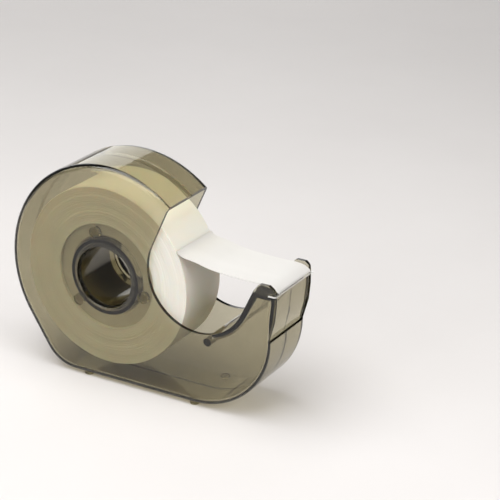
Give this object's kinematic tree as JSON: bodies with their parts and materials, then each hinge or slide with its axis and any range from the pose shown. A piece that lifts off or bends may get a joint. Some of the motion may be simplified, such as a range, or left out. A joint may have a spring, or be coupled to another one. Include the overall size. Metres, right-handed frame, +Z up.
{
  "type": "tape dispenser",
  "caption": "Hand-held tape dispenser: two thin see-through half shells round a hollow hub, a roll of matte tape with its free end on the nose, and a toothed cutter.",
  "frame": {"origin": "on the table under the middle of the dispenser, feet at Z = 0", "axes": "+X toward the nose and cutter, +Y toward the far half, +Z up; the hub axis runs along Y"},
  "size_m": [0.0952, 0.0224, 0.0711],
  "materials": {
    "near_shell": "polished, smoke tinted, see-through",
    "far_shell": "polished, smoke tinted, see-through",
    "landing_pad": "polished, light smoke tint",
    "cutter_blade": "rolled strip",
    "tape_core": "moulded",
    "tape_roll": "frosted film",
    "tape_tail": "frosted film"
  },
  "bodies": {
    "near_half": {"near_shell": "near_shell", "landing_pad": "landing_pad", "cutter_blade": "cutter_blade", "tape_tail": "tape_tail"},
    "far_half": {"far_shell": "far_shell"},
    "roll": {"tape_core": "tape_core", "tape_roll": "tape_roll"}
  },
  "joints": [
    {"name": "roll_spin", "type": "hinge", "parent": "near_half", "child": "roll", "pos_m": [-0.01285, 0, 0.0352], "axis": [0, 1, 0], "continuous": true},
    {"name": "halves_apart", "type": "slide", "parent": "near_half", "child": "far_half", "axis": [0, 1, 0], "range_m": [0, 0.03]}
  ]
}
